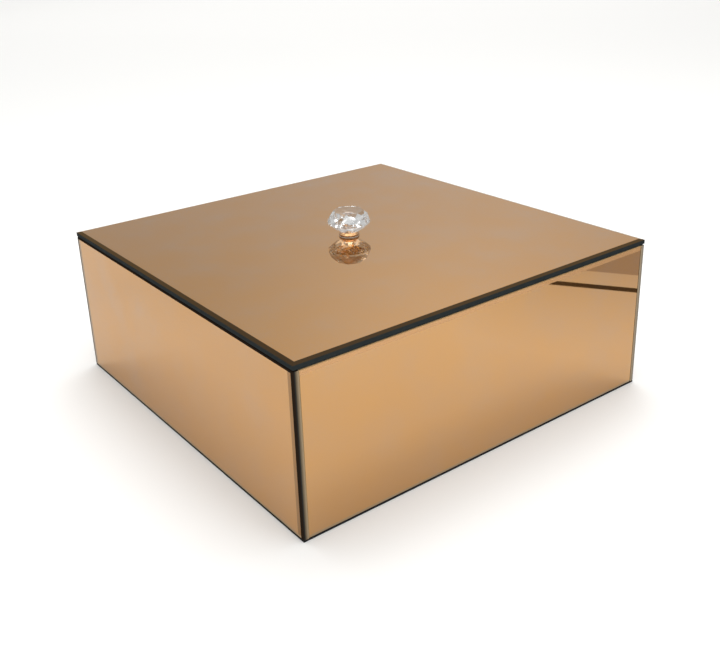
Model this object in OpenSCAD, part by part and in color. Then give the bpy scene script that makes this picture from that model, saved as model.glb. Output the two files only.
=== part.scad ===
// Square mirrored-glass trinket box with a lift-off lid and a faceted crystal knob.
// A fibreboard carcass is clad with four mirror panels and lined with flocked card. The lid is one bevelled
// mirror on a lined board that drops into the mouth of the box. Millimetres, +Z up, the origin is at the
// centre of the underside, and the front faces -Y.

/* [Box] */
// Width of the closed box over the side mirrors, along X
box_w = 250; // [150:1:400]
// Depth of the closed box over the front and back mirrors, along Y
box_d = 250; // [150:1:400]
// Height from the table to the top of the lid's mirror, without the knob
box_h = 95; // [60:1:200]
// Thickness of the fibreboard walls of the carcass
wall_t = 5; // [3:0.5:9]
// Thickness of the fibreboard floor between the walls
floor_t = 5; // [3:0.5:9]
// Thickness of the black flocked board that covers the underside
base_t = 1.2; // [0.8:0.1:4]

/* [Mirrors] */
// Thickness of the four side mirrors
glass_t = 3; // [2:0.5:6]
// Width and depth of the ground arris around the face of each side mirror
arris = 0.4; // [0.2:0.1:1]
// Thickness of the lid's mirror
lid_glass_t = 3; // [2:0.5:6]
// Width of the bevel around the lid's mirror
bevel_w = 2.5; // [1:0.1:12]
// Drop of that bevel at the edge of the glass
bevel_h = 0.6; // [0.3:0.1:1.5]

/* [Lining] */
// Thickness of the flocked card on the inside walls
lining_t = 1.5; // [0.8:0.1:3]
// Thickness of the flocked card where it is folded over the top of the walls
rim_t = 1.2; // [1:0.1:3]
// Height of the folded card above the top edge of the side mirrors
rim_proud = 0.7; // [0.2:0.1:1.1]
// Thickness of the flocked card on the floor
floor_lining_t = 2; // [1:0.1:4]

/* [Lid] */
// Thickness of the board under the lid's mirror
lid_board_t = 6; // [5:0.5:10]
// Thickness of the flocked card wrapped round the lid board
lid_lining_t = 1; // [0.6:0.1:2]
// Gap between the lid board's lining and the lining of the walls
lid_gap = 1; // [0.5:0.1:3]

/* [Knob] */
// Diameter of the crystal across its girdle
crystal_d = 26.4; // [20:0.2:45]
// Diameter of the flat table on top of the crystal
table_d = 18.4; // [10:0.2:24]
// Height of the crown, from the girdle to the table
crown_h = 6.3; // [3:0.1:12]
// Height of the narrow girdle
girdle_h = 1.2; // [0.6:0.1:3]
// Height of the lower facets, from the ferrule to the girdle
pavilion_h = 5.6; // [3:0.2:10]
// Number of main facets round the crown
facets = 8; // [6:1:16]
// Diameter of the metal ferrule at its foot
ferrule_d = 12.4; // [11:0.2:16]
// Diameter of the ferrule where it meets the crystal
neck_d = 9.6; // [8:0.2:10.8]
// Height of the ferrule between the gasket and the crystal
ferrule_h = 2.4; // [2:0.1:8]
// Thickness of the clear gasket between the ferrule and the mirror
gasket_t = 0.5; // [0.3:0.1:1.5]

/* [Knob screw] */
// Nominal diameter of the screw's thread
screw_d = 4; // [3:0.5:5]
// Diameter of the screw's pan head
head_d = 8; // [6:0.5:10]
// Height of the screw's head
head_h = 2.4; // [1.5:0.1:3]
// Outside diameter of the washer under the head
washer_d = 10; // [8:0.5:14]
// Thickness of that washer
washer_t = 0.8; // [0.5:0.1:1.5]

/* [Hidden] */
$fn = 96;

cut = 1;                                   // how far a cutting shape runs past the face that it cuts
fit_gap = 0.05;                            // radial gap where one round piece sits inside another
screw_gap = 0.3;                           // radial gap of the holes that the screw passes through

// Levels, from the table up
rim_z = box_h - lid_glass_t;               // the lid's mirror rests on the folded lining here
wall_top_z = rim_z - rim_t;
mirror_top_z = rim_z - rim_proud;
floor_z = base_t + floor_t;                // top of the floor board
lid_board_z = rim_z - lid_board_t;
lid_lining_z = lid_board_z - lid_lining_t;

// Plan sizes, from the outside in
carcass_w = box_w - 2 * glass_t;
carcass_d = box_d - 2 * glass_t;
inside_w = carcass_w - 2 * wall_t;         // between the bare walls
inside_d = carcass_d - 2 * wall_t;
mouth_w = inside_w - 2 * lining_t;         // between the linings
mouth_d = inside_d - 2 * lining_t;
plug_w = mouth_w - 2 * lid_gap;            // the lined lid board
plug_d = mouth_d - 2 * lid_gap;

// Knob, from the lid's mirror up
ferrule_z = box_h + gasket_t;
crystal_z = ferrule_z + ferrule_h;
seat_d = neck_d + 0.8;                     // flat foot of the crystal on the ferrule
spigot_d = screw_d + 2.6;                  // ferrule's spigot, glued into the crystal
spigot_h = pavilion_h * 0.75;
flange_h = ferrule_h / 3;                  // straight rim at the ferrule's foot
land_h = ferrule_h / 6;                    // straight land at the ferrule's neck

// Screw and the recess for its head
recess_d = washer_d + 2;
recess_h = washer_t + head_h + 0.4;        // into the lid board
washer_z = lid_board_z + recess_h - washer_t;
screw_top_z = crystal_z + spigot_h - 0.8;  // the thread ends inside the spigot
glass_hole_d = screw_d + 2;

// ---- Shared shapes ----

// Section of a plate that lies on z = 0, with a bevel along both edges of its upper face
module edge_section(w, t, bw, bh) {
    polygon([
        [-w / 2, 0], [w / 2, 0], [w / 2, t - bh], [w / 2 - bw, t],
        [-w / 2 + bw, t], [-w / 2, t - bh]
    ]);
}

// Plate centred on the origin, lying on z = 0, bevelled round all four edges of its upper face
module bevelled_plate(w, d, t, bw, bh) {
    intersection() {
        rotate([90, 0, 0]) linear_extrude(d, center = true) edge_section(w, t, bw, bh);
        rotate([90, 0, 90]) linear_extrude(w, center = true) edge_section(d, t, bw, bh);
    }
}

// Turns what is made for the front of the box to its side: 0 front, 1 right, 2 back, 3 left
module on_side(side) {
    rotate([0, 0, 90 * side]) children();
}

// Distance from the box's axis to the outside of the carcass on a side
function carcass_reach(side) = (side % 2 == 0 ? carcass_d : carcass_w) / 2;

// Length of the bare inside of the carcass along a side
function inside_run(side) = side % 2 == 0 ? inside_w : inside_d;

// Points of one ring of a cut stone
function ring(n, r, z, phase = 0) =
    [for (i = [0 : n - 1]) [r * cos(360 * (i + phase) / n), r * sin(360 * (i + phase) / n), z]];

// Radius of the points between two rings that keeps the kite facets flat, at a share of the way out
function kite_r(n, r_in, r_out, share) = (r_in + (r_out - r_in) * share) / cos(180 / n);

// Solid with flat facets through all the points
module cut_stone(points) {
    hull() polyhedron(points, [for (i = [1 : len(points) - 2]) [0, i, i + 1]]);
}

// ---- Carcass ----

// Black flocked board under the walls and the mirrors
module base_cover() {
    color("#17171a") translate([-box_w / 2, -box_d / 2, 0]) cube([box_w, box_d, base_t]);
}

// Fibreboard floor, held between the walls
module floor_board() {
    color("#a07c55") translate([-inside_w / 2, -inside_d / 2, base_t]) cube([inside_w, inside_d, floor_t]);
}

// One fibreboard wall. The side walls run the full depth, and the front and back walls fit between them.
module wall(side) {
    run = side % 2 == 0 ? inside_w : carcass_d;
    color("#a07c55") on_side(side)
        translate([-run / 2, -carcass_reach(side), base_t]) cube([run, wall_t, wall_top_z - base_t]);
}

// ---- Mirrors ----

// One side mirror. The side mirrors run the full depth and cover the ends of the front and back ones.
module side_mirror(side) {
    run = side % 2 == 0 ? carcass_w : box_d;
    height = mirror_top_z - base_t;
    color("#c8935f") on_side(side)
        translate([0, -carcass_reach(side), base_t + height / 2]) rotate([90, 0, 0])
            bevelled_plate(run, height, glass_t, arris, arris);
}

// The lid's bevelled mirror, drilled for the knob
module lid_mirror() {
    color("#b98a5e") difference() {
        translate([0, 0, rim_z]) bevelled_plate(box_w, box_d, lid_glass_t, bevel_w, bevel_h);
        translate([0, 0, rim_z - cut]) cylinder(d = glass_hole_d, h = lid_glass_t + 2 * cut);
    }
}

// ---- Linings ----

// One wall's lining: flocked card up the inside of the wall and folded outwards over its top, with mitred ends
module wall_lining(side) {
    reach = carcass_reach(side);
    run = inside_run(side);
    outer_run = run + 2 * wall_t;
    inner = reach - wall_t - lining_t;
    mitre = outer_run / 2 - reach;
    color("#1c1b1f") on_side(side) intersection() {
        rotate([90, 0, 90]) linear_extrude(outer_run, center = true) polygon([
            [-reach + wall_t, floor_z], [-inner, floor_z], [-inner, rim_z],
            [-reach, rim_z], [-reach, wall_top_z], [-reach + wall_t, wall_top_z]
        ]);
        linear_extrude(rim_z + cut) polygon([
            [-reach - mitre, -reach], [reach + mitre, -reach],
            [inner + mitre, -inner], [-inner - mitre, -inner]
        ]);
    }
}

// Flocked card on the floor, inside the wall linings
module lining_floor() {
    color("#1c1b1f") translate([-mouth_w / 2, -mouth_d / 2, floor_z]) cube([mouth_w, mouth_d, floor_lining_t]);
}

// ---- Lid ----

// Board glued under the lid's mirror, with a recess for the head of the knob's screw
module lid_board() {
    w = plug_w - 2 * lid_lining_t;
    d = plug_d - 2 * lid_lining_t;
    color("#a07c55") difference() {
        translate([-w / 2, -d / 2, lid_board_z]) cube([w, d, lid_board_t]);
        translate([0, 0, lid_board_z - cut]) cylinder(d = recess_d, h = recess_h + cut);
        translate([0, 0, lid_board_z - cut]) cylinder(d = screw_d + 2 * screw_gap, h = lid_board_t + 2 * cut);
    }
}

// Flocked card wrapped round the lid board, open where the screw's head sits
module lid_lining() {
    w = plug_w - 2 * lid_lining_t;
    d = plug_d - 2 * lid_lining_t;
    color("#1c1b1f") difference() {
        translate([-plug_w / 2, -plug_d / 2, lid_lining_z]) cube([plug_w, plug_d, rim_z - lid_lining_z]);
        translate([-w / 2, -d / 2, lid_board_z]) cube([w, d, lid_board_t + cut]);
        translate([0, 0, lid_lining_z - cut]) cylinder(d = recess_d, h = lid_lining_t + 2 * cut);
    }
}

// ---- Knob ----

// Clear gasket that keeps the metal off the glass
module knob_gasket() {
    color("#dfe4e2") translate([0, 0, box_h]) difference() {
        cylinder(d = ferrule_d, h = gasket_t);
        translate([0, 0, -cut]) cylinder(d = screw_d + 2 * screw_gap, h = gasket_t + 2 * cut);
    }
}

// Turned metal ferrule that narrows to its neck, and a tapped spigot that is glued into the crystal
module knob_ferrule() {
    bore_r = screw_d / 2 + fit_gap;
    color("#d9a877") translate([0, 0, ferrule_z]) rotate_extrude() polygon([
        [bore_r, 0], [ferrule_d / 2, 0], [ferrule_d / 2, flange_h],
        [neck_d / 2, ferrule_h - land_h], [neck_d / 2, ferrule_h],
        [spigot_d / 2, ferrule_h], [spigot_d / 2, ferrule_h + spigot_h], [bore_r, ferrule_h + spigot_h]
    ]);
}

// Faceted crystal: a table, a crown of star, kite and girdle facets, a thin girdle and a pavilion that ends
// in a flat foot with a blind hole for the ferrule's spigot
module knob_crystal() {
    kite_share = 0.45;
    girdle_r = crystal_d / 2;
    table_r = table_d / 2;
    foot_r = seat_d / 2 / cos(180 / facets);
    girdle_z = pavilion_h;
    crown_z = pavilion_h + girdle_h;
    table_z = crown_z + crown_h;
    color("#e9f1f3") translate([0, 0, crystal_z]) difference() {
        cut_stone(concat(
            ring(facets, table_r, table_z),
            ring(facets, kite_r(facets, table_r, girdle_r, kite_share), table_z - crown_h * kite_share, 0.5),
            ring(2 * facets, girdle_r, crown_z),
            ring(2 * facets, girdle_r, girdle_z),
            ring(facets, kite_r(facets, foot_r, girdle_r, kite_share), pavilion_h * kite_share, 0.5),
            ring(facets, foot_r, 0)
        ));
        translate([0, 0, -cut]) cylinder(d = spigot_d + 2 * fit_gap, h = spigot_h + fit_gap + cut);
    }
}

// Pan-head machine screw up through the lid, with a cross recess in its head
module knob_screw() {
    drive_w = head_d / 2;
    drive_t = head_d / 8;
    drive_h = head_h * 0.6;
    dome = head_h * 0.45;
    color("#c9ccd0") difference() {
        union() {
            translate([0, 0, washer_z - head_h]) rotate_extrude() polygon(concat(
                [[0, head_h], [head_d / 2, head_h], [head_d / 2, dome]],
                [for (a = [15 : 15 : 75]) [head_d / 2 - dome * (1 - cos(a)), dome * (1 - sin(a))]],
                [[head_d / 2 - dome, 0], [0, 0]]
            ));
            translate([0, 0, washer_z - cut]) cylinder(d = screw_d, h = screw_top_z - washer_z + cut);
        }
        translate([0, 0, washer_z - head_h - cut]) {
            translate([-drive_w / 2, -drive_t / 2, 0]) cube([drive_w, drive_t, drive_h + cut]);
            translate([-drive_t / 2, -drive_w / 2, 0]) cube([drive_t, drive_w, drive_h + cut]);
        }
    }
}

// Flat washer between the screw's head and the lid board
module screw_washer() {
    color("#c9ccd0") translate([0, 0, washer_z]) difference() {
        cylinder(d = washer_d, h = washer_t);
        translate([0, 0, -cut]) cylinder(d = screw_d + 2 * screw_gap, h = washer_t + 2 * cut);
    }
}

base_cover();
floor_board();
wall(0);  // wall_front
wall(1);  // wall_right
wall(2);  // wall_back
wall(3);  // wall_left
side_mirror(0);  // mirror_front
side_mirror(1);  // mirror_right
side_mirror(2);  // mirror_back
side_mirror(3);  // mirror_left
wall_lining(0);  // lining_front
wall_lining(1);  // lining_right
wall_lining(2);  // lining_back
wall_lining(3);  // lining_left
lining_floor();
lid_mirror();
lid_board();
lid_lining();
knob_gasket();
knob_ferrule();
knob_crystal();
knob_screw();
screw_washer();
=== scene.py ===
"""Looks of a square trinket box clad in bronze mirror, with a lift-off mirror lid and a cut-crystal knob."""

import math

import bpy
from mathutils import Matrix, Vector


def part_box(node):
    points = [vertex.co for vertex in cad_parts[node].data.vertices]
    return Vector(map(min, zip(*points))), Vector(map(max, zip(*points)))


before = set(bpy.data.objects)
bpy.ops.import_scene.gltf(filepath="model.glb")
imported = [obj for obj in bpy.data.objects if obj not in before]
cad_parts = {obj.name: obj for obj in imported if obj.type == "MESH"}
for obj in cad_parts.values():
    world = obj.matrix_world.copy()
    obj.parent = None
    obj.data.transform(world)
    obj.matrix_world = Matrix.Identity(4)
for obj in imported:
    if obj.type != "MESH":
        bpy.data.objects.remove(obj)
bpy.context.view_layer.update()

MM = 0.001
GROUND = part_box("base_cover")[0].z
LID_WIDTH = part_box("lid_mirror")[1].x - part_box("lid_mirror")[0].x

# ---- Small tools ----

# The sockets of a colour mix, which share their names with those of the other kinds of mix
SHARE, FIRST, SECOND, MIXED = 0, 6, 7, 2


def colour(hex_code):
    """An sRGB hex colour as linear red, green, blue and alpha."""
    parts = [int(hex_code[i : i + 2], 16) / 255 for i in (1, 3, 5)]
    return [c / 12.92 if c <= 0.04045 else ((c + 0.055) / 1.055) ** 2.4 for c in parts] + [1.0]


def add(tree, kind, inputs, output=0, **settings):
    """Adds a shader node with its settings and links, and gives one of its outputs.

    Each input goes by its name or its number, and takes a plain value or the output that feeds it.
    """
    made = tree.nodes.new("ShaderNode" + kind)
    for name, value in settings.items():
        setattr(made, name, value)
    for name, value in inputs.items():
        if isinstance(value, bpy.types.NodeSocket):
            tree.links.new(value, made.inputs[name])
        else:
            made.inputs[name].default_value = value
    return made.outputs[output]


def material(name):
    """A new material: itself, its tree, its surface shader and the place on the object in metres."""
    made = bpy.data.materials.new(name)
    made.use_nodes = True
    tree = made.node_tree
    return made, tree, tree.nodes["Principled BSDF"], add(tree, "TexCoord", {}, "Object")


def mottled(tree, where, size, first, second, detail=2.0):
    """A colour that drifts between two shades, in lumps of about that size in metres."""
    lumps = add(tree, "TexNoise", {"Vector": where, "Scale": 1 / size, "Detail": detail})
    return add(tree, "Mix", {SHARE: lumps, FIRST: first, SECOND: second}, MIXED, data_type="RGBA")


def give(tree, shader, sockets, values):
    """Links node outputs to the shader's inputs, and sets plain values on others."""
    for name, socket in sockets.items():
        tree.links.new(socket, shader.inputs[name])
    for name, value in values.items():
        shader.inputs[name].default_value = value


def finish_node(name, finish):
    """Gives a carried-over node its material."""
    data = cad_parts[name].data
    data.materials.clear()
    data.materials.append(finish)


# Points this close are one point
SAME_POINT = 0.002 * MM
# Faces that turn less than this are one face
SAME_FACE = math.radians(0.5)
# Edges that turn more than this are sharp
SHARP = math.radians(30)


def ease_edges(name, radius, steps=3):
    """Rounds the sharp edges of a carried-over node, as sanding, folding or tumbling does to real ones."""
    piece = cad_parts[name]
    weld = piece.modifiers.new("weld", "WELD")
    weld.merge_threshold = SAME_POINT
    planar = piece.modifiers.new("planar", "DECIMATE")
    planar.decimate_type = "DISSOLVE"
    planar.angle_limit = SAME_FACE
    bevel = piece.modifiers.new("bevel", "BEVEL")
    bevel.width = radius
    bevel.segments = steps
    bevel.limit_method = "ANGLE"
    bevel.angle_limit = SHARP
    bevel.harden_normals = True


# ---- Mirrors ----

BRONZE = colour("#C69559")
BRONZE_DEEPER = colour("#C29054")
# The tint drifts slowly over a sheet of glass
TINT_DRIFT = 90 * MM
# Tinted glass gets deeper in colour at a low angle, where a bare metal would turn white
LOW_ANGLE_TINT = colour("#F4E0C8")
# What isn't silvered is matt or dark, so it has no shine of its own but the coat
GLASS = {
    "IOR": 1.52,
    "Specular IOR Level": 0.0,
    "Specular Tint": LOW_ANGLE_TINT,
    "Coat Roughness": 0.01,
    "Coat IOR": 1.52,
}
# The weight of the clear front of the glass over the silver, and over the lid's polished but dark edge
COAT = 0.6
EDGE_COAT = 0.04
# The roughness of ground glass, of the lid's polished edge and of the paint on its back
MATT_GLASS = 0.55
POLISHED_EDGE = 0.06
BACKING_PAINT = 0.6

# How far the black edge sealer reaches over a mirror's face at its front end and its back end, and how far
# the same dark colour reaches down from its top as painted shade under the lid
SIDE_SEALED_AND_TOP_SHADE = (2.2 * MM, 1.6 * MM, 1.1 * MM)
NOT_SEALED = (0.0, 0.0, 0.0)
# The sealer's colour, which also paints the shade under the lid along the top
SEALER_AND_TOP_SHADE = colour("#2A211A")
# Painted reflection: the glass would mirror the sealer's edge again, so a dimmer stripe is painted beside it
PAINTED_REFLECTION_REACH = 2.6 * MM
PAINTED_REFLECTION_FRONT = colour("#90652C")
PAINTED_REFLECTION_BACK = colour("#87735F")
# The reflection is dull along the bottom
BOTTOM_STRIPE = 1.5 * MM
BOTTOM_DULL = colour("#AC926C")
# Painted light: under a bare ground top, a lighter glow is painted in place of some of the reflection, as
# scattered light would give
TOP_STRIPE = 2.8 * MM
PAINTED_TOP_GLOW = colour("#C7996A")
TOP_FADED = 0.4

# Wheel marks on the ground edges, drawn at 0.4 mm because the real grit is too fine to show
GRIT = 0.4 * MM
ALONG_THE_WHEEL = (1, 1, 0.1)
# An end is one colour this far in from the outer side of the glass, and then gets warmer towards the silver
OUTER_SIDE = 0.8 * MM
# The ends' outer colour is painted: a shaded dark grey on most mirrors, and a lit lighter grey on the right
# one
SHADED_END = colour("#2B2B29")
LIT_END = colour("#827C73")

# A face this near to an axis looks straight along it
STRAIGHT = math.cos(math.radians(8))
# The lid's face is flatter than its bevel, and neither the edge nor the back looks up this much
FLAT = math.cos(math.radians(4))
SLOPING = 0.3


def float_surface(tree, where):
    """The roughness and the normal of float glass: a breath-thin haze in 25 mm patches, and the roller
    wave, about 60 mm long and a few micrometres deep."""
    haze = add(tree, "TexNoise", {"Vector": where, "Scale": 1 / (25 * MM), "Detail": 4.0})
    clean = add(tree, "MapRange", {"Value": haze, "To Min": 0.012, "To Max": 0.04})
    wave = add(tree, "TexNoise", {"Vector": where, "Scale": 1 / (60 * MM), "Detail": 1.0})
    return clean, add(tree, "Bump", {"Height": wave, "Distance": 0.01 * MM}, "Normal")


def parts_of_pane(tree, face_axis, run_axis):
    """Three masks for an upright pane of glass: its two faces, its two ends, and its top and bottom."""
    normal = add(tree, "SeparateXYZ", {0: add(tree, "TexCoord", {}, "Normal")}).node.outputs
    masks = []
    for axis in (face_axis, run_axis, 2):
        size = add(tree, "Math", {0: normal[axis]}, operation="ABSOLUTE")
        masks.append(add(tree, "Math", {0: size, 1: STRAIGHT}, operation="GREATER_THAN"))
    return masks


def ground_end(tree, marks, across, low, high, outside):
    """The colour of a pane's ground end, from the outer side of the glass to the warmer silvered side."""
    inner = mottled(tree, marks, GRIT, colour("#9F8C70"), colour("#AD997C"))
    out = add(tree, "Math", {0: across}, operation="ABSOLUTE")
    depth = add(tree, "Math", {0: max(abs(low), abs(high)), 1: out}, operation="SUBTRACT")
    inwards = add(tree, "MapRange", {"Value": depth, "From Min": OUTER_SIDE, "From Max": high - low})
    return add(tree, "Mix", {SHARE: inwards, FIRST: outside, SECOND: inner}, MIXED, data_type="RGBA")


def float_glass_mirror(name, node, face_axis, run_axis, sealed_and_top_shade, end_outside):
    """Bronze-tinted float glass, silvered on the back. It gives a clean, very slightly wavy reflection with
    a warm tint. Its edges are ground matt, and its ends are warmer towards the silvered back.

    The fifth argument is how far the matt black edge sealing reaches over the face at the front end and the
    back end, and how far a dark strip of painted shade, standing in for the shade under the lid, reaches
    down from the top. end_outside is the colour of the ends on the outer side, painted as shaded on most
    mirrors and as lit on the right one.
    """
    low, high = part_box(node)
    made, tree, shader, where = material(name)
    place = add(tree, "SeparateXYZ", {0: where}).node.outputs
    along, height = place[run_axis], place[2]
    at_front, at_back, top_shade_reach = sealed_and_top_shade
    on_face, on_end, on_top = parts_of_pane(tree, face_axis, run_axis)

    from_front = add(tree, "Math", {0: along, 1: low[run_axis]}, operation="SUBTRACT")
    from_back = add(tree, "Math", {0: high[run_axis], 1: along}, operation="SUBTRACT")
    near_front = add(tree, "Math", {0: from_front, 1: at_front}, operation="LESS_THAN")
    near_back = add(tree, "Math", {0: from_back, 1: at_back}, operation="LESS_THAN")
    # A strip along the top gets the sealer's dark colour as painted shade under the lid
    near_top_shade = add(tree, "Math", {0: height, 1: high.z - top_shade_reach}, operation="GREATER_THAN")
    sealer_and_top_shade = add(tree, "Math", {0: near_front, 1: near_back}, operation="MAXIMUM")
    sealer_and_top_shade = add(tree, "Math", {0: sealer_and_top_shade, 1: near_top_shade}, operation="MAXIMUM")
    silvered = add(tree, "Math", {0: on_face, 1: sealer_and_top_shade}, operation="SUBTRACT", use_clamp=True)

    bronze = mottled(tree, where, TINT_DRIFT, BRONZE, BRONZE_DEEPER)
    stripes = []
    # Painted reflections of the sealer's edge, as dimmer stripes beside it
    if at_front:
        near = add(tree, "Math", {0: from_front, 1: at_front + PAINTED_REFLECTION_REACH}, operation="LESS_THAN")
        stripes.append((near, PAINTED_REFLECTION_FRONT))
    if at_back:
        near = add(tree, "Math", {0: from_back, 1: at_back + PAINTED_REFLECTION_REACH}, operation="LESS_THAN")
        stripes.append((near, PAINTED_REFLECTION_BACK))
    from_below = add(tree, "Math", {0: height, 1: low.z}, operation="SUBTRACT")
    near = add(tree, "Math", {0: from_below, 1: BOTTOM_STRIPE}, operation="LESS_THAN")
    stripes.append((near, BOTTOM_DULL))
    # Painted light: a lighter glow under the bare top, with less of the reflection
    if not top_shade_reach:
        near = add(tree, "Math", {0: height, 1: high.z - TOP_STRIPE}, operation="GREATER_THAN")
        stripes.append((near, PAINTED_TOP_GLOW))
        faded = add(tree, "Math", {0: near, 1: TOP_FADED}, operation="MULTIPLY")
        silvered = add(tree, "Math", {0: silvered, 1: faded}, operation="SUBTRACT", use_clamp=True)
    for near, tint in stripes:
        bronze = add(tree, "Mix", {SHARE: near, FIRST: bronze, SECOND: tint}, MIXED, data_type="RGBA")

    marks = add(tree, "Mapping", {"Vector": where, "Scale": ALONG_THE_WHEEL})
    ground_top = mottled(tree, marks, GRIT, colour("#6E6A61"), colour("#8B877C"))
    arris = mottled(tree, marks, GRIT, colour("#A6885F"), colour("#B4946A"))
    end = ground_end(tree, marks, place[face_axis], low[face_axis], high[face_axis], end_outside)
    shade = arris
    for part, look in ((on_top, ground_top), (on_face, bronze), (sealer_and_top_shade, SEALER_AND_TOP_SHADE), (on_end, end)):
        shade = add(tree, "Mix", {SHARE: part, FIRST: shade, SECOND: look}, MIXED, data_type="RGBA")

    clean, wave = float_surface(tree, where)
    rough = add(tree, "MapRange", {"Value": silvered, "To Min": MATT_GLASS, "To Max": clean})
    coat = add(tree, "Math", {0: silvered, 1: COAT}, operation="MULTIPLY")
    give(tree, shader, {"Base Color": shade, "Metallic": silvered, "Roughness": rough}, GLASS)
    give(tree, shader, {"Normal": wave, "Coat Weight": coat}, {})
    return made


def bevelled_mirror(name):
    """Bronze-tinted mirror with a bevelled, polished border. The face gives a clean warm reflection. The
    bevel looks into the thickness of the glass, so it is dark. The edge is dark with a blue-green cast, and
    the back is painted."""
    made, tree, shader, where = material(name)
    up = add(tree, "SeparateXYZ", {0: add(tree, "TexCoord", {}, "Normal")}, "Z")
    flat = add(tree, "Math", {0: up, 1: FLAT}, operation="GREATER_THAN")
    bevel = add(tree, "Math", {0: up, 1: SLOPING}, operation="GREATER_THAN")
    back = add(tree, "Math", {0: up, 1: -SLOPING}, operation="LESS_THAN")

    shade = mottled(tree, where, 4 * MM, colour("#252A2B"), colour("#2E3334"))
    paint = mottled(tree, where, 1.5 * MM, colour("#3B352F"), colour("#4A423A"), 4.0)
    ground = mottled(tree, where, 12 * MM, colour("#4D3D2C"), colour("#554431"))
    bronze = mottled(tree, where, TINT_DRIFT, BRONZE, BRONZE_DEEPER)
    for part, look in ((back, paint), (bevel, ground), (flat, bronze)):
        shade = add(tree, "Mix", {SHARE: part, FIRST: shade, SECOND: look}, MIXED, data_type="RGBA")

    clean, wave = float_surface(tree, where)
    rough = add(tree, "MapRange", {"Value": back, "To Min": POLISHED_EDGE, "To Max": BACKING_PAINT})
    rough = add(tree, "MapRange", {"Value": flat, "To Min": rough, "To Max": clean})
    coat = add(tree, "MapRange", {"Value": back, "To Min": EDGE_COAT, "To Max": 0.0})
    coat = add(tree, "MapRange", {"Value": flat, "To Min": coat, "To Max": COAT})
    give(tree, shader, {"Base Color": shade, "Metallic": bevel, "Roughness": rough}, GLASS)
    give(tree, shader, {"Normal": wave, "Coat Weight": coat}, {})
    return made


# ---- Other materials of the box ----


def flocked_card(name):
    """Short black nylon pile on card. It drinks nearly all the light, with a faint grey sheen at a low
    angle and patches where the pile leans another way."""
    made, tree, shader, where = material(name)
    leaning = mottled(tree, where, 18 * MM, colour("#101012"), colour("#1D1D20"), 3.0)
    # The pile is 0.02 mm thick, so its tufts are drawn at 0.35 mm to show. Their pale tips show by half
    tufts = add(tree, "TexNoise", {"Vector": where, "Scale": 1 / (0.35 * MM), "Detail": 2.0})
    tips = add(tree, "Math", {0: tufts, 1: 0.5}, operation="MULTIPLY")
    tip = colour("#29292E")
    pile = add(tree, "Mix", {SHARE: tips, FIRST: leaning, SECOND: tip}, MIXED, data_type="RGBA")
    relief = add(tree, "Bump", {"Height": tufts, "Distance": 0.12 * MM}, "Normal")
    plain = {"Roughness": 0.95, "Specular IOR Level": 0.2, "Sheen Weight": 0.12, "Sheen Roughness": 0.4}
    give(tree, shader, {"Base Color": pile, "Normal": relief}, plain)
    return made


def fibreboard(name):
    """Raw medium-density fibreboard: warm brown, matt, with short pressed fibres about 1 mm long."""
    made, tree, shader, where = material(name)
    fibres = add(tree, "TexNoise", {"Vector": where, "Scale": 1 / (1 * MM), "Detail": 6.0})
    blotches = mottled(tree, where, 30 * MM, colour("#8A6C4B"), colour("#97795A"))
    pale = colour("#B59468")
    tone = add(tree, "Mix", {SHARE: fibres, FIRST: blotches, SECOND: pale}, MIXED, data_type="RGBA")
    relief = add(tree, "Bump", {"Height": fibres, "Distance": 0.05 * MM}, "Normal")
    give(tree, shader, {"Base Color": tone, "Normal": relief}, {"Roughness": 0.85})
    return made


def cut_crystal(name):
    """Polished lead crystal. It is clear, bends light strongly and flashes at its facet edges."""
    made, tree, shader, where = material(name)
    polish = add(tree, "TexNoise", {"Vector": where, "Scale": 1 / (3 * MM), "Detail": 2.0})
    rough = add(tree, "MapRange", {"Value": polish, "To Min": 0.06, "To Max": 0.12})
    plain = {"Base Color": colour("#F4F6F7"), "Transmission Weight": 1.0, "IOR": 1.56}
    give(tree, shader, {"Roughness": rough}, plain)
    return made


def plated_brass(name):
    """Turned brass with a rose-gold plate: a warm metal with faint rings left by the lathe."""
    made, tree, shader, where = material(name)
    # Stretched sideways, so the lumps of the noise become rings about 0.25 mm apart
    rings_only = add(tree, "Mapping", {"Vector": where, "Scale": (0.05, 0.05, 1)})
    rings = add(tree, "TexNoise", {"Vector": rings_only, "Scale": 1 / (0.25 * MM), "Detail": 2.0})
    dim, bright = colour("#B98C60"), colour("#C99E74")
    plate = add(tree, "Mix", {SHARE: rings, FIRST: dim, SECOND: bright}, MIXED, data_type="RGBA")
    rough = add(tree, "MapRange", {"Value": rings, "To Min": 0.18, "To Max": 0.3})
    relief = add(tree, "Bump", {"Height": rings, "Distance": 0.01 * MM}, "Normal")
    give(tree, shader, {"Base Color": plate, "Roughness": rough, "Normal": relief}, {"Metallic": 1.0})
    return made


def zinc_plated_steel(name):
    """Bright zinc on pressed steel: a cool grey metal with a slightly cloudy plate."""
    made, tree, shader, where = material(name)
    cloud = add(tree, "TexNoise", {"Vector": where, "Scale": 1 / (1.2 * MM), "Detail": 3.0})
    dim, bright = colour("#B9BEC4"), colour("#D3D7DB")
    zinc = add(tree, "Mix", {SHARE: cloud, FIRST: dim, SECOND: bright}, MIXED, data_type="RGBA")
    rough = add(tree, "MapRange", {"Value": cloud, "To Min": 0.22, "To Max": 0.36})
    give(tree, shader, {"Base Color": zinc, "Roughness": rough}, {"Metallic": 1.0})
    return made


def clear_vinyl(name):
    """Soft vinyl ring, milky and see-through only where it is thin."""
    made, tree, shader, where = material(name)
    milk = mottled(tree, where, 2 * MM, colour("#EDE6DA"), colour("#F6F1E8"))
    give(tree, shader, {"Base Color": milk}, {"Roughness": 0.3, "IOR": 1.53, "Transmission Weight": 0.3})
    return made


# ---- The box and the lid ----

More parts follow.
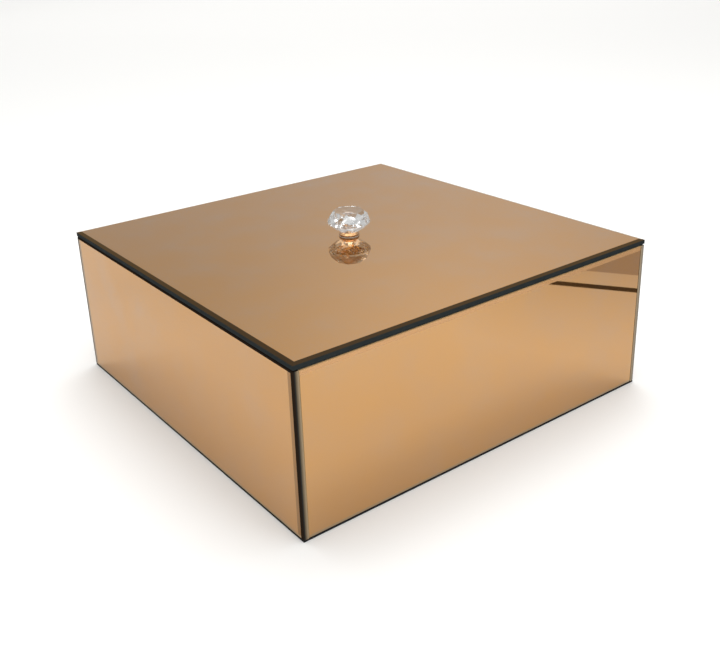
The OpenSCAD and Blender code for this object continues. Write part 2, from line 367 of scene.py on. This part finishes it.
SIDES = ("front", "right", "back", "left")
FLOCKED = ["lining_" + side for side in SIDES] + ["lining_floor", "lid_lining", "base_cover"]
BOARDS = ["floor_board"] + ["wall_" + side for side in SIDES] + ["lid_board"]
# Each mirror's side, the axis that it faces and the one that it runs along, its sealer with the painted
# shade along its top, and the painted outer colour of its ends
MIRRORS = (
    ("left", 0, 1, SIDE_SEALED_AND_TOP_SHADE, SHADED_END),
    ("right", 0, 1, SIDE_SEALED_AND_TOP_SHADE, LIT_END),
    ("front", 1, 0, NOT_SEALED, SHADED_END),
    ("back", 1, 0, NOT_SEALED, SHADED_END),
)

for side, face_axis, run_axis, sealed_and_top_shade, end_outside in MIRRORS:
    node = "mirror_" + side
    name = "bronze_float_glass_" + side
    finish_node(node, float_glass_mirror(name, node, face_axis, run_axis, sealed_and_top_shade, end_outside))
finish_node("lid_mirror", bevelled_mirror("bronze_bevelled_mirror"))

flock = flocked_card("black_flocked_card")
board = fibreboard("raw_fibreboard")
for name in FLOCKED:
    finish_node(name, flock)
    ease_edges(name, 0.35 * MM)
for name in BOARDS:
    finish_node(name, board)
    ease_edges(name, 0.25 * MM, 2)

finish_node("knob_crystal", cut_crystal("polished_lead_crystal"))
finish_node("knob_ferrule", plated_brass("rose_gold_plated_brass"))
finish_node("knob_gasket", clear_vinyl("clear_soft_vinyl"))
for name in ("knob_screw", "screw_washer"):
    finish_node(name, zinc_plated_steel("bright_zinc_" + name))
ease_edges("knob_crystal", 0.07 * MM, 2)
ease_edges("knob_ferrule", 0.12 * MM)
ease_edges("screw_washer", 0.1 * MM)

# ---- Studio: lengths in metres, power in watts ----

# The floor lies just under the box, and the cards just above the floor
FLOOR_SIZE = 16
FLOOR_DROP = 0.02 * MM
CARD_LIFT = 0.5 * MM

# The paper is greyer round a point to the right of the box: fully so this near to it, but not this far
GREY_PATCH = (0.36, -0.30, 0)
GREY_NEAR = 0.05
GREY_FAR = 0.27

# Each card's name, middle, size, material and shade
CARD_TURN = math.radians(-33.2)
CARDS = (
    ("grey_card", (0.286, -0.283), (0.071, 0.1), "matt_grey_card", "#ABA5A3"),
    ("dark_strip", (0.229, -0.245), (0.009, 0.1), "matt_dark_card", "#4A4238"),
)

# A grey sheet of painted shade, seen only in reflections, lies to the left of the box, and is clear at its
# reach
SHADE_SHEET_MIDDLE = (-0.20, 0.24)
SHADE_SHEET_SIZE = (0.7, 0.7)
SHADE_SHEET_REACH = 0.32
SHADE_SHEET_DENSEST = 0.36

# The light of the walls, the most that the ceiling adds to it, and what the screen adds in its middle
WALL_LIGHT = 0.57
CEILING_LIMIT = 0.05
SCREEN_LIGHT = 0.48
# The ceiling's own light is even by one share, and grows towards the viewer's side by the other
CEILING_EVEN = 0.9
CEILING_SLOPE = (-0.63, -0.63, 0)
# Which way the screen is from the box, and how tight it is
SCREEN_WAY = Vector((1, 1, 0.8)).normalized()
SCREEN_TIGHT = 32

# Each lamp's name, place, the point that it faces, width, height and power
SOFTBOXES = (
    ("front_softbox", (-0.1, -1.2, 1.5), (0, -0.1, 0), 1.6, 1.2, 8.8),
    ("overhead_softbox", (0.03, -0.05, 1.1), (0.03, -0.05, 0), 1.0, 0.9, 6.4),
    ("backdrop_softbox", (1.7, 2.4, 2.4), (1.7, 2.4, 0), 5, 4, 58),
)

# The camera's place in widths of the lid, its lens in millimetres, and its shift
VIEW_FROM = (-1.2738, -1.743, 1.114)
AZIMUTH = math.radians(-37.03)
ELEVATION = math.radians(21.6)
ROLL = math.radians(-1.85)
LENS = 46.2
SHIFT = (-0.0056, -0.0694)


def white_paper(name):
    """Plain matt white studio paper, a little greyer in a soft patch to the right of the box."""
    made, tree, shader, where = material(name)
    away = add(tree, "VectorMath", {0: where, 1: GREY_PATCH}, "Value", operation="DISTANCE")
    patch = add(tree, "MapRange", {"Value": away, "From Min": GREY_FAR, "From Max": GREY_NEAR})
    white, grey = colour("#F3F3F2"), colour("#C6C5C3")
    paper = add(tree, "Mix", {SHARE: patch, FIRST: white, SECOND: grey}, MIXED, data_type="RGBA")
    give(tree, shader, {"Base Color": paper}, {"Roughness": 0.7, "Specular IOR Level": 0.2})
    return made


def matt_card(name, shade):
    """Plain matt card of one colour."""
    made, tree, shader, _ = material(name)
    give(tree, shader, {}, {"Base Color": shade, "Roughness": 0.8, "Specular IOR Level": 0.1})
    return made


def painted_shade_sheet(name, shade, middle):
    """A thin grey sheet of painted shade on the floor, densest in the middle and clear at its reach."""
    made, tree, shader, where = material(name)
    away = add(tree, "VectorMath", {0: where, 1: middle}, "Value", operation="DISTANCE")
    thinning = {"Value": away, "From Min": SHADE_SHEET_REACH, "From Max": 0.0, "To Max": SHADE_SHEET_DENSEST}
    dense = add(tree, "MapRange", thinning)
    give(tree, shader, {"Alpha": dense}, {"Base Color": shade, "Roughness": 0.8, "Specular IOR Level": 0.1})
    return made


def studio_floor():
    """A wide white floor under the box."""
    bpy.ops.mesh.primitive_plane_add(size=FLOOR_SIZE, location=(0, 0, GROUND - FLOOR_DROP))
    floor = bpy.context.object
    floor.name = "studio_floor"
    floor.data.materials.append(white_paper("white_seamless_paper"))


def lay_card(name, middle, size, turn, finish):
    """Lays a card or the sheet of painted shade on the floor. Only the mirrors and the crystal see it."""
    bpy.ops.mesh.primitive_plane_add(size=1, location=(0, 0, 0))
    card = bpy.context.object
    card.name = name
    shape = Matrix.Rotation(turn, 4, "Z") @ Matrix.Diagonal((*size, 1, 1))
    card.data.transform(Matrix.Translation((*middle, GROUND + CARD_LIFT)) @ shape)
    card.visible_camera = False
    card.visible_diffuse = False
    card.visible_shadow = False
    card.data.materials.append(finish)


def studio_cards():
    """A grey card and a dark strip to the right of the box, and a grey sheet of painted shade to the left.
    """
    for name, middle, size, finish, shade in CARDS:
        lay_card(name, middle, size, CARD_TURN, matt_card(finish, colour(shade)))
    shade_sheet = painted_shade_sheet("painted_shade_sheet", colour("#BEBDBC"), (*SHADE_SHEET_MIDDLE, GROUND + CARD_LIFT))
    lay_card("painted_shade_sheet", SHADE_SHEET_MIDDLE, SHADE_SHEET_SIZE, 0, shade_sheet)


def studio_dome():
    """Soft light from all round: even walls, a ceiling that is brighter behind the viewer, and a broad
    bright screen low down behind the box, which the lid mirrors."""
    world = bpy.data.worlds.new("white_studio")
    bpy.context.scene.world = world
    world.use_nodes = True
    tree = world.node_tree
    direction = add(tree, "TexCoord", {}, "Generated")

    height = add(tree, "SeparateXYZ", {0: direction}, "Z")
    height = add(tree, "Math", {0: height, 1: 0.0}, operation="MAXIMUM")
    squared = add(tree, "Math", {0: height, 1: height}, operation="MULTIPLY")
    behind = add(tree, "VectorMath", {0: direction, 1: CEILING_SLOPE}, "Value", operation="DOT_PRODUCT")
    slope = add(tree, "Math", {0: behind, 1: CEILING_EVEN}, operation="ADD")
    ceiling = add(tree, "Math", {0: squared, 1: slope}, operation="MULTIPLY")
    ceiling = add(tree, "Math", {0: ceiling, 1: CEILING_LIMIT}, operation="MINIMUM")

    towards = add(tree, "VectorMath", {0: direction, 1: SCREEN_WAY}, "Value", operation="DOT_PRODUCT")
    towards = add(tree, "Math", {0: towards, 1: 0.0}, operation="MAXIMUM")
    screen = add(tree, "Math", {0: towards, 1: SCREEN_TIGHT}, operation="POWER")
    level = add(tree, "Math", {0: screen, 1: SCREEN_LIGHT, 2: ceiling}, operation="MULTIPLY_ADD")
    level = add(tree, "Math", {0: level, 1: WALL_LIGHT}, operation="ADD")

    background = tree.nodes["Background"]
    background.inputs["Color"].default_value = colour("#FFFEFC")
    tree.links.new(level, background.inputs["Strength"])


def softbox(name, place, aim, width, height, power):
    """A large soft lamp that faces a point."""
    lamp = bpy.data.lights.new(name, "AREA")
    lamp.shape = "RECTANGLE"
    lamp.size = width
    lamp.size_y = height
    lamp.energy = power
    made = bpy.data.objects.new(name, lamp)
    made.location = place
    made.rotation_euler = (Vector(aim) - Vector(place)).to_track_quat("-Z", "Y").to_euler()
    bpy.context.scene.collection.objects.link(made)
    # The mirrors show the even dome instead of the lamps
    made.visible_glossy = False


def camera():
    """A three-quarter view onto the front left corner, a little from above, with a slight roll."""
    out = math.cos(ELEVATION)
    forward = Vector((-math.sin(AZIMUTH) * out, math.cos(AZIMUTH) * out, -math.sin(ELEVATION)))
    level = Vector((math.cos(AZIMUTH), math.sin(AZIMUTH), 0))
    upright = level.cross(forward)
    right = level * math.cos(ROLL) + upright * math.sin(ROLL)
    above = upright * math.cos(ROLL) - level * math.sin(ROLL)
    data = bpy.data.cameras.new("three_quarter_view")
    data.sensor_width = 36
    data.lens = LENS
    data.shift_x, data.shift_y = SHIFT
    made = bpy.data.objects.new("three_quarter_view", data)
    turn = Matrix((right, above, -forward)).transposed().to_4x4()
    made.matrix_world = Matrix.Translation(Vector(VIEW_FROM) * LID_WIDTH) @ turn
    bpy.context.scene.collection.objects.link(made)
    bpy.context.scene.camera = made


studio_floor()
studio_cards()
studio_dome()
for lamp in SOFTBOXES:
    softbox(*lamp)
camera()
bpy.context.scene.view_settings.view_transform = "Standard"
# Light bounces many times inside cut crystal before it leaves
bpy.context.scene.cycles.max_bounces = 24
bpy.context.scene.cycles.glossy_bounces = 20
bpy.context.scene.cycles.transmission_bounces = 20
